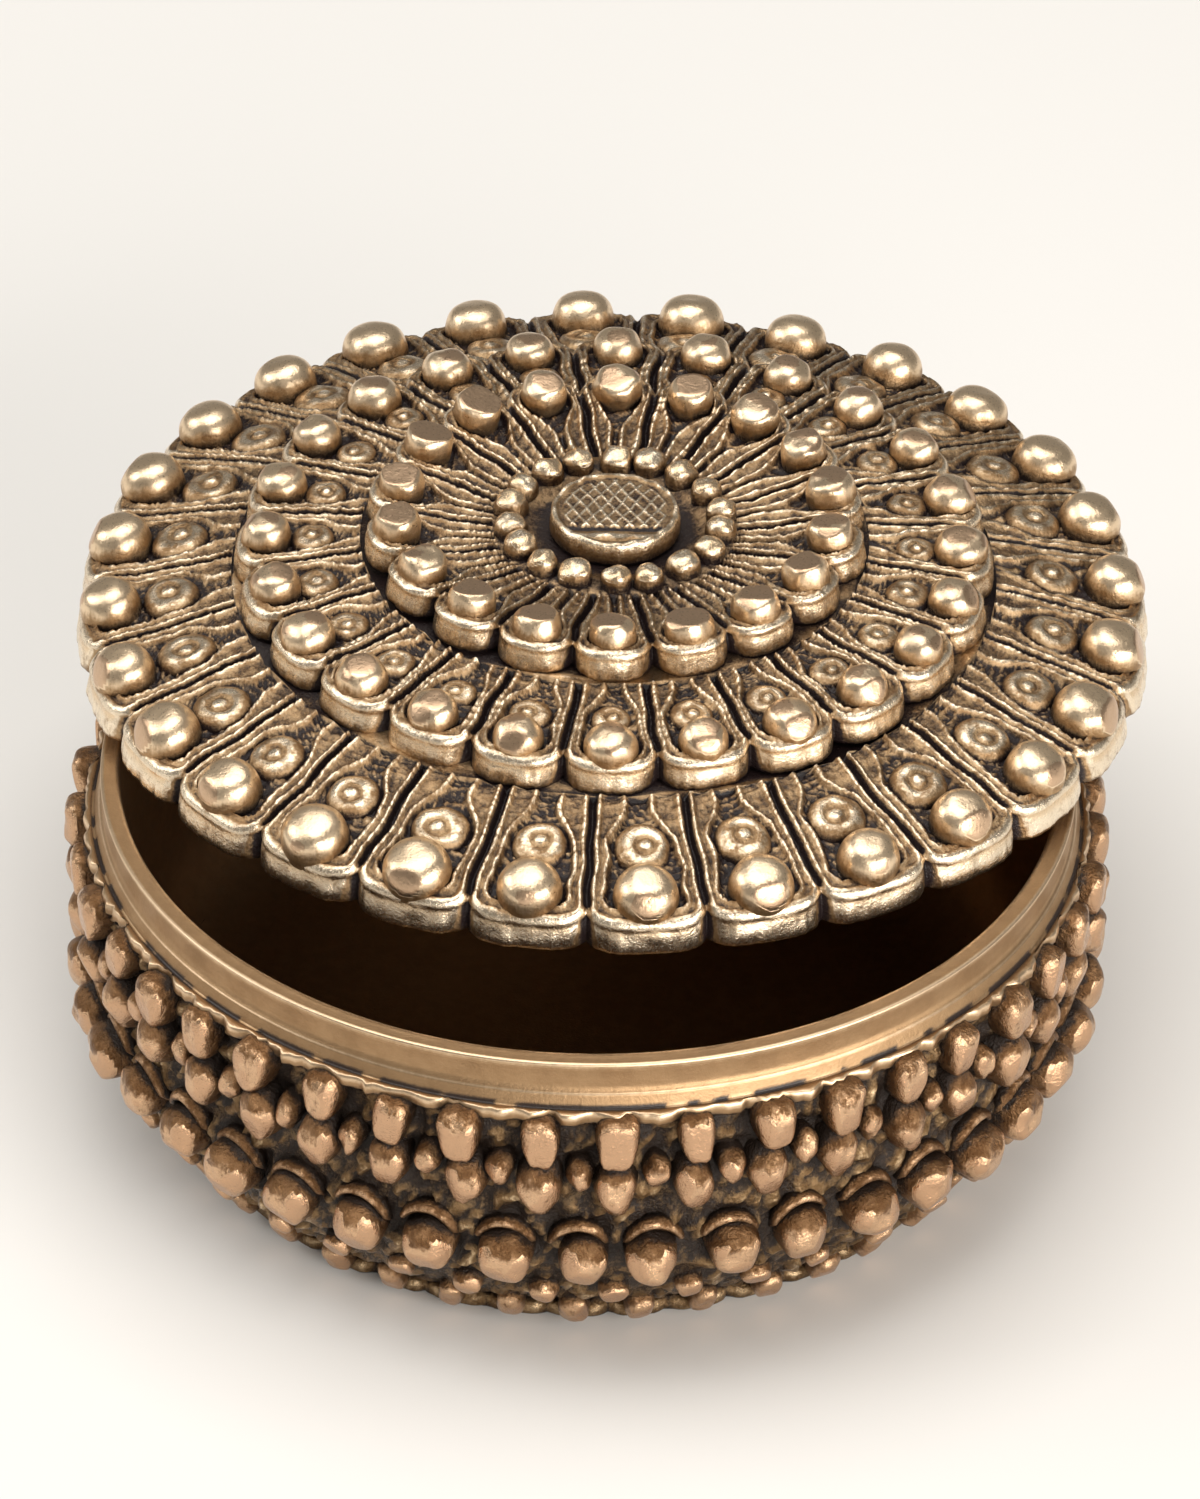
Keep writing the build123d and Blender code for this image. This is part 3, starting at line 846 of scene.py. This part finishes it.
# The rings under the lower tier, from the register in to the middle of the shallow dish, and the rings
# of the sunk middle of the top tier: distance out, height and how bright each is rubbed
dish = (
    (register_radius, 0.0, 0.5),
    (dish_radius, 0.0, 0.3),
    (dish_radius - 0.3 * mm, 0.9 * mm, 0.2),
    (dish_radius - 1.6 * mm, 2.1 * mm, 0.2),
    (innermost, 2.2 * mm, 0.2),
)
moat = (
    (innermost, top.root_height - 0.5 * mm, 0.0),
    (4.9 * mm, top.root_height - 0.5 * mm, 0.1),
    (5.9 * mm, top.root_height - 0.45 * mm, 0.3),
    (6.4 * mm, top.root_height - 0.05 * mm, 0.5),
    (7.4 * mm, top.root_height, 0.4),
    (8.5 * mm, top.root_height, 0.4),
)
petal_tier("lower_petals_cast", lower, (), dish)
petal_tier("middle_petals_cast", middle, (), ((middle.root, 0.0, 0.0),))
petal_tier("top_petals_cast", top, moat, ((top.root, 0.0, 0.0),))

# The domed studs near the petals' tips: wax balls pressed into the beds, cast, filed flat on the side
# that faces out, and polished; the filed side's colour is a painted reflection. Those of the top tier are
# squat, with an uneven flat top.
polished_brass = antique_brass(
    "polished_brass",
    crest=(0.84, 0.65, 0.44, 1),
    body=(0.49, 0.325, 0.175, 1),
    recess=(0.020, 0.013, 0.010, 1),
    # The filed faces' coppery colour is a painted reflection.
    filed_reflection=(0.62, 0.43, 0.28, 1),
    blotch=0.7,
    dirt=-0.1,
    speckle=0.12,
    shine=0.30,
    relief=0.07 * mm,
)
stud_root = 0.5 * mm


def on_petal(tier, petal, radius):
    """Stands a nugget on a petal's bed: its z square to the slope and its y towards the tip."""
    angle = tier.turn + full_turn * petal / tier.count
    height = tier.base + tier.slope(radius) - bed_depth
    stand = Matrix.Translation(polar(radius, angle, height)) @ Matrix.Rotation(angle - math.pi / 2, 4, "Z")
    return stand @ Matrix.Rotation(-tier.tilt(), 4, "X")


def lid_row(name, node, tier, circle, diameter, height, seed, **shape):
    """A nugget on each petal of a tier, in the place of one CAD row."""
    chance = random.Random(seed)
    shapes = []
    for petal in range(tier.count):
        size = chance.uniform(0.93, 1.04)
        tall = height * chance.uniform(0.93, 1.03)
        rings, worn = nugget(diameter * size, diameter * size, tall, stud_root, chance=chance, **shape)
        stand = on_petal(tier, petal, circle + chance.uniform(-0.1, 0.1) * mm)
        shapes.append((placed(stand, rings), worn))
    row = join_rows(name, shapes, polished_brass)
    row.location = lid_middle
    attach(row, "lid")
    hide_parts(node)


lid_row(
    "rim_studs_polished", "rim_studs", lower, circle=35.1 * mm, diameter=4.65 * mm, height=2.7 * mm,
    seed=21, filings=((0.0, 1.35, 0.11),),
    dome=0.68, bands=20, sides=44, lump=0.025, cap=0.0,
)
lid_row(
    "middle_studs_polished", "middle_studs", middle, circle=24.3 * mm, diameter=3.75 * mm, height=2.3 * mm,
    seed=22, filings=((0.1, 1.1, 0.1), (0.0, -0.1, 0.06)),
    dome=0.66, bands=16, sides=36, lump=0.06, cap=0.0, soft=0.12 * mm,
)
lid_row(
    "top_studs_filed", "top_studs", top, circle=15.45 * mm, diameter=3.4 * mm, height=2.38 * mm,
    seed=23, filings=((0.0, 0.05, 0.12), (0.8, 0.3, 0.05)),
    dome=0.42, bands=18, sides=36, lump=0.08, cap=0.0, soft=0.04 * mm,
)

# The eyes: a flat ringed disc behind each stud of the two lower tiers, with a dot in its middle. They
# are stamped in the wax, so each is a little off round, and rubbed bright on its ring and dot.
eye_sides = 24

# Each ring of an eye, in shares of its radius: distance out and height, and how bright it is rubbed
eye_profile = (
    (0.02, 0.37, 0.9),
    (0.13, 0.37, 1.0),
    (0.22, 0.32, 0.8),
    (0.28, 0.26, 0.5),
    (0.34, 0.26, 0.45),
    (0.46, 0.32, 0.85),
    (0.64, 0.31, 0.85),
    (0.82, 0.22, 0.7),
    (0.95, 0.03, 0.45),
    (1.0, -0.4, 0.0),
)


def eye_row(name, node, tier, circle, radius, seed):
    """A ring of eyes, one on each petal of a tier."""
    chance = random.Random(seed)
    shapes = []
    for petal in range(tier.count):
        stand = on_petal(tier, petal, circle + chance.uniform(-0.12, 0.12) * mm)
        wide, long = chance.uniform(0.92, 1.06), chance.uniform(0.92, 1.06)
        dot_off = Vector((chance.uniform(-0.1, 0.1), chance.uniform(-0.1, 0.1), 0))
        rings, worn = [], []
        for reach, rise, rubbed in eye_profile:
            middle = dot_off * (1 - eased(reach, 0.4, 0.9))
            ring = []
            for side in range(eye_sides):
                angle = full_turn * side / eye_sides
                spot = middle + Vector((wide * reach * math.cos(angle), long * reach * math.sin(angle), 0))
                uneven = 0.3 * lumps((spot.x, spot.y, petal), 0.5, seed)
                spot.z = rise * (1 + uneven) + 0.1
                ring.append(stand @ (spot * radius))
                worn.append(rubbed)
            rings.append(ring)
        shapes.append((rings, worn))
    row = join_rows(name, shapes, petal_brass)
    row.location = lid_middle
    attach(row, "lid")
    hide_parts(node)


eye_row("lower_eyes_stamped", "lower_eyes", lower, circle=30.95 * mm, radius=2.2 * mm, seed=31)
eye_row("middle_eyes_stamped", "middle_eyes", middle, circle=21.2 * mm, radius=1.65 * mm, seed=32)

# The bead ring: eighteen lumpy brass beads round the middle of the lid, each pressed on by hand. The
# patina is rubbed off their tops only.
bead_circle = 7.4 * mm
bead_count = 18
bead_diameter = 2.35 * mm
bead_height = 1.45 * mm
bead_root = 0.3 * mm

bead_chance = random.Random(41)
bead_shapes = []
for place in range(bead_count):
    angle = top.turn + full_turn * (place + bead_chance.uniform(-0.12, 0.12)) / bead_count
    diameter = bead_diameter * bead_chance.uniform(0.9, 1.08)
    rings, worn = nugget(
        diameter, diameter, bead_height, bead_root, chance=bead_chance,
        filings=((0.5, 0.6, 0.12), (-0.6, 0.2, 0.12), (0.1, -0.6, 0.1)),
        dome=0.7, bands=9, sides=20, lump=0.14,
    )
    spot = polar(bead_circle + bead_chance.uniform(-0.15, 0.15) * mm, angle, top.base + top.root_height)
    stand = Matrix.Translation(spot) @ Matrix.Rotation(angle - math.pi / 2, 4, "Z")
    bead_shapes.append((placed(stand, rings), worn))
beads = join_rows("bead_ring_cast", bead_shapes, petal_brass)
beads.location = lid_middle
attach(beads, "lid")
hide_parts("bead_ring")

# The boss in the middle: a round button with hand-cut sides and a flat top. A grid of slanting lines
# stands up from the top, so the lines shine against the toned brass, with a lumpy bar in front of it.
boss_low, boss_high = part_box("seed_boss")
boss_radius = (boss_high.x - boss_low.x) / 2
boss_crown = boss_high.z - boss_low.z - 0.32 * mm
boss_sides = 240
boss_ring_count = 76
boss_facets = 13
facet = full_turn / boss_facets
line_spacing = 0.86 * mm
line_half_width = 0.11 * mm
line_height = 0.1 * mm
line_lean = 0.577
line_strays = 0.14 * mm
rim_start = 0.84 * boss_radius
rim_full = 0.92 * boss_radius
grid_radius = 0.82 * boss_radius
chord_place = -0.5 * boss_radius
chord_half_width = 0.22 * mm
chord_depth = 0.25 * mm
bar_place = -0.72 * boss_radius
bar_half_width = 0.42 * mm
bar_half_length = 0.6 * boss_radius
bar_height = 0.15 * mm


def on_grid_line(x, y):
    """How far a spot on the boss's top is on a line of the slanting grid, from 0 to 1."""
    nearest = line_spacing
    for lean in (line_lean, -line_lean):
        across = (x + lean * y) / math.hypot(1, lean)
        across += line_strays * lumps((x, y, 0), 2.0 * mm, 6.0 + lean)
        nearest = min(nearest, abs((across / line_spacing + 0.5) % 1 - 0.5) * line_spacing)
    inside = 1 - eased(math.hypot(x, y), 0.94 * grid_radius, grid_radius)
    inside *= eased(y, chord_place + 0.1 * mm, chord_place + 0.3 * mm)
    return inside * (1 - eased(nearest, 0.4 * line_half_width, 1.5 * line_half_width))


boss_rings, boss_worn = [], []
for radius in np.linspace(0.02, 0.95, boss_ring_count) * boss_radius:
    ring = []
    for side in range(boss_sides):
        spot = polar(radius, full_turn * side / boss_sides, boss_crown)
        line = on_grid_line(spot.x, spot.y)
        rim = eased(radius, rim_start, rim_full)
        chord = bump_at(spot.y - chord_place, chord_half_width) * (1 - rim)
        bar = bump_at(spot.y - bar_place, bar_half_width)
        bar *= 1 - eased(abs(spot.x), bar_half_length, boss_radius)
        uneven = (0.05 + 0.14 * max(rim, bar)) * mm * lumps(spot, 0.9 * mm, 4.0)
        spot.z += uneven + line_height * line - chord_depth * chord + bar_height * max(rim, bar)
        ring.append(spot)
        boss_worn.append(0.3 + max(0.9 * line, 0.6 * rim, 0.7 * bar) - 0.3 * chord)
    boss_rings.append(ring)

# The rings of the boss's cut side: share of its radius, share of the way down and how bright
for reach, drop, rubbed in ((0.985, 0.12, 1.0), (1.0, 0.4, 0.7), (1.0, 0.8, 0.5), (0.97, 1.0, 0.1)):
    ring = []
    for side in range(boss_sides):
        angle = full_turn * side / boss_sides
        off_middle = (angle + 0.35 * lumps((round(angle / facet), 0, 0), 0.8)) % facet - facet / 2
        flat = math.cos(facet / 2) / math.cos(off_middle)
        ring.append(polar(boss_radius * reach * min(flat + 0.02, 1), angle, boss_crown * (1 - drop)))
        boss_worn.append(rubbed)
    boss_rings.append(ring)
boss = ringed_piece("seed_boss_cut", boss_rings, boss_worn, [petal_brass])
boss.location = (lid_middle.x, lid_middle.y, boss_low.z)
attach(boss, "lid")
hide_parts("seed_boss")

# The floor: a plain, flat, pale surface that the box stands on, wide enough to fill the picture. It is
# matt, so it shows the box's soft shadow and no reflection.
floor_reach = 3.0
floor_mesh = bpy.data.meshes.new("floor")
corners = [(floor_reach * x, floor_reach * y, 0) for x, y in ((-1, -1), (1, -1), (1, 1), (-1, 1))]
floor_mesh.from_pydata(corners, [], [(0, 1, 2, 3)])
floor = bpy.data.objects.new("floor", floor_mesh)
bpy.context.scene.collection.objects.link(floor)
floor_paint = bpy.data.materials.new("pale_floor")
floor_paint.use_nodes = True
floor_shader = floor_paint.node_tree.nodes["Principled BSDF"]
floor_shader.inputs["Base Color"].default_value = (0.80, 0.79, 0.77, 1)
floor_shader.inputs["Roughness"].default_value = 0.9
floor_mesh.materials.append(floor_paint)

# Light: a dim soft room, a broad low window in front on the right, a smaller one on the left and a soft
# light overhead, so that each dome has a bright band low in front and a brown top.
world = bpy.data.worlds.new("room")
bpy.context.scene.world = world
world.use_nodes = True
world.node_tree.nodes["Background"].inputs["Color"].default_value = (0.88, 0.85, 0.80, 1)
world.node_tree.nodes["Background"].inputs["Strength"].default_value = 0.28
box_middle = Vector((0, 0.01, 0.02))

# Each lamp: name, place, width, height, power in watts and colour
lamps = (
    ("front_window", (0.42, -0.56, 0.24), 0.80, 0.40, 6.5, (1.0, 0.96, 0.91)),
    ("left_window", (-0.60, 0.05, 0.42), 0.45, 0.40, 1.7, (1.0, 0.98, 0.95)),
    ("overhead", (-0.05, 0.05, 0.80), 0.85, 0.70, 5.0, (1.0, 0.97, 0.93)),
)
for name, spot, width, height, power, colour in lamps:
    lamp = bpy.data.lights.new(name, "AREA")
    lamp.shape = "RECTANGLE"
    lamp.size = width
    lamp.size_y = height
    lamp.energy = power
    lamp.color = colour
    lamp_object = bpy.data.objects.new(name, lamp)
    lamp_object.location = spot
    lamp_object.rotation_euler = (box_middle - Vector(spot)).to_track_quat("-Z", "Y").to_euler()
    bpy.context.scene.collection.objects.link(lamp_object)

# The camera: where the photograph was taken from, about 73 cm away with a long lens, looking down at 36
# degrees.
camera_spot = Vector((0.78, -579.50, 445.79)) * mm
camera_elevation = math.radians(35.818)
camera_roll = math.radians(1.135)
camera_data = bpy.data.cameras.new("camera")
camera_data.sensor_fit = "VERTICAL"
camera_data.sensor_height = 36.0
camera_data.lens = 248.167
camera = bpy.data.objects.new("camera", camera_data)
level_right = Vector((1, 0, 0))
level_up = Vector((0, math.sin(camera_elevation), math.cos(camera_elevation)))
backwards = Vector((0, -math.cos(camera_elevation), math.sin(camera_elevation)))
rolled_right = math.cos(camera_roll) * level_right + math.sin(camera_roll) * level_up
rolled_up = -math.sin(camera_roll) * level_right + math.cos(camera_roll) * level_up
turned = Matrix((rolled_right, rolled_up, backwards)).transposed().to_4x4()
camera.matrix_world = Matrix.Translation(camera_spot) @ turned
bpy.context.scene.collection.objects.link(camera)
bpy.context.scene.camera = camera
bpy.context.scene.view_settings.view_transform = "Standard"
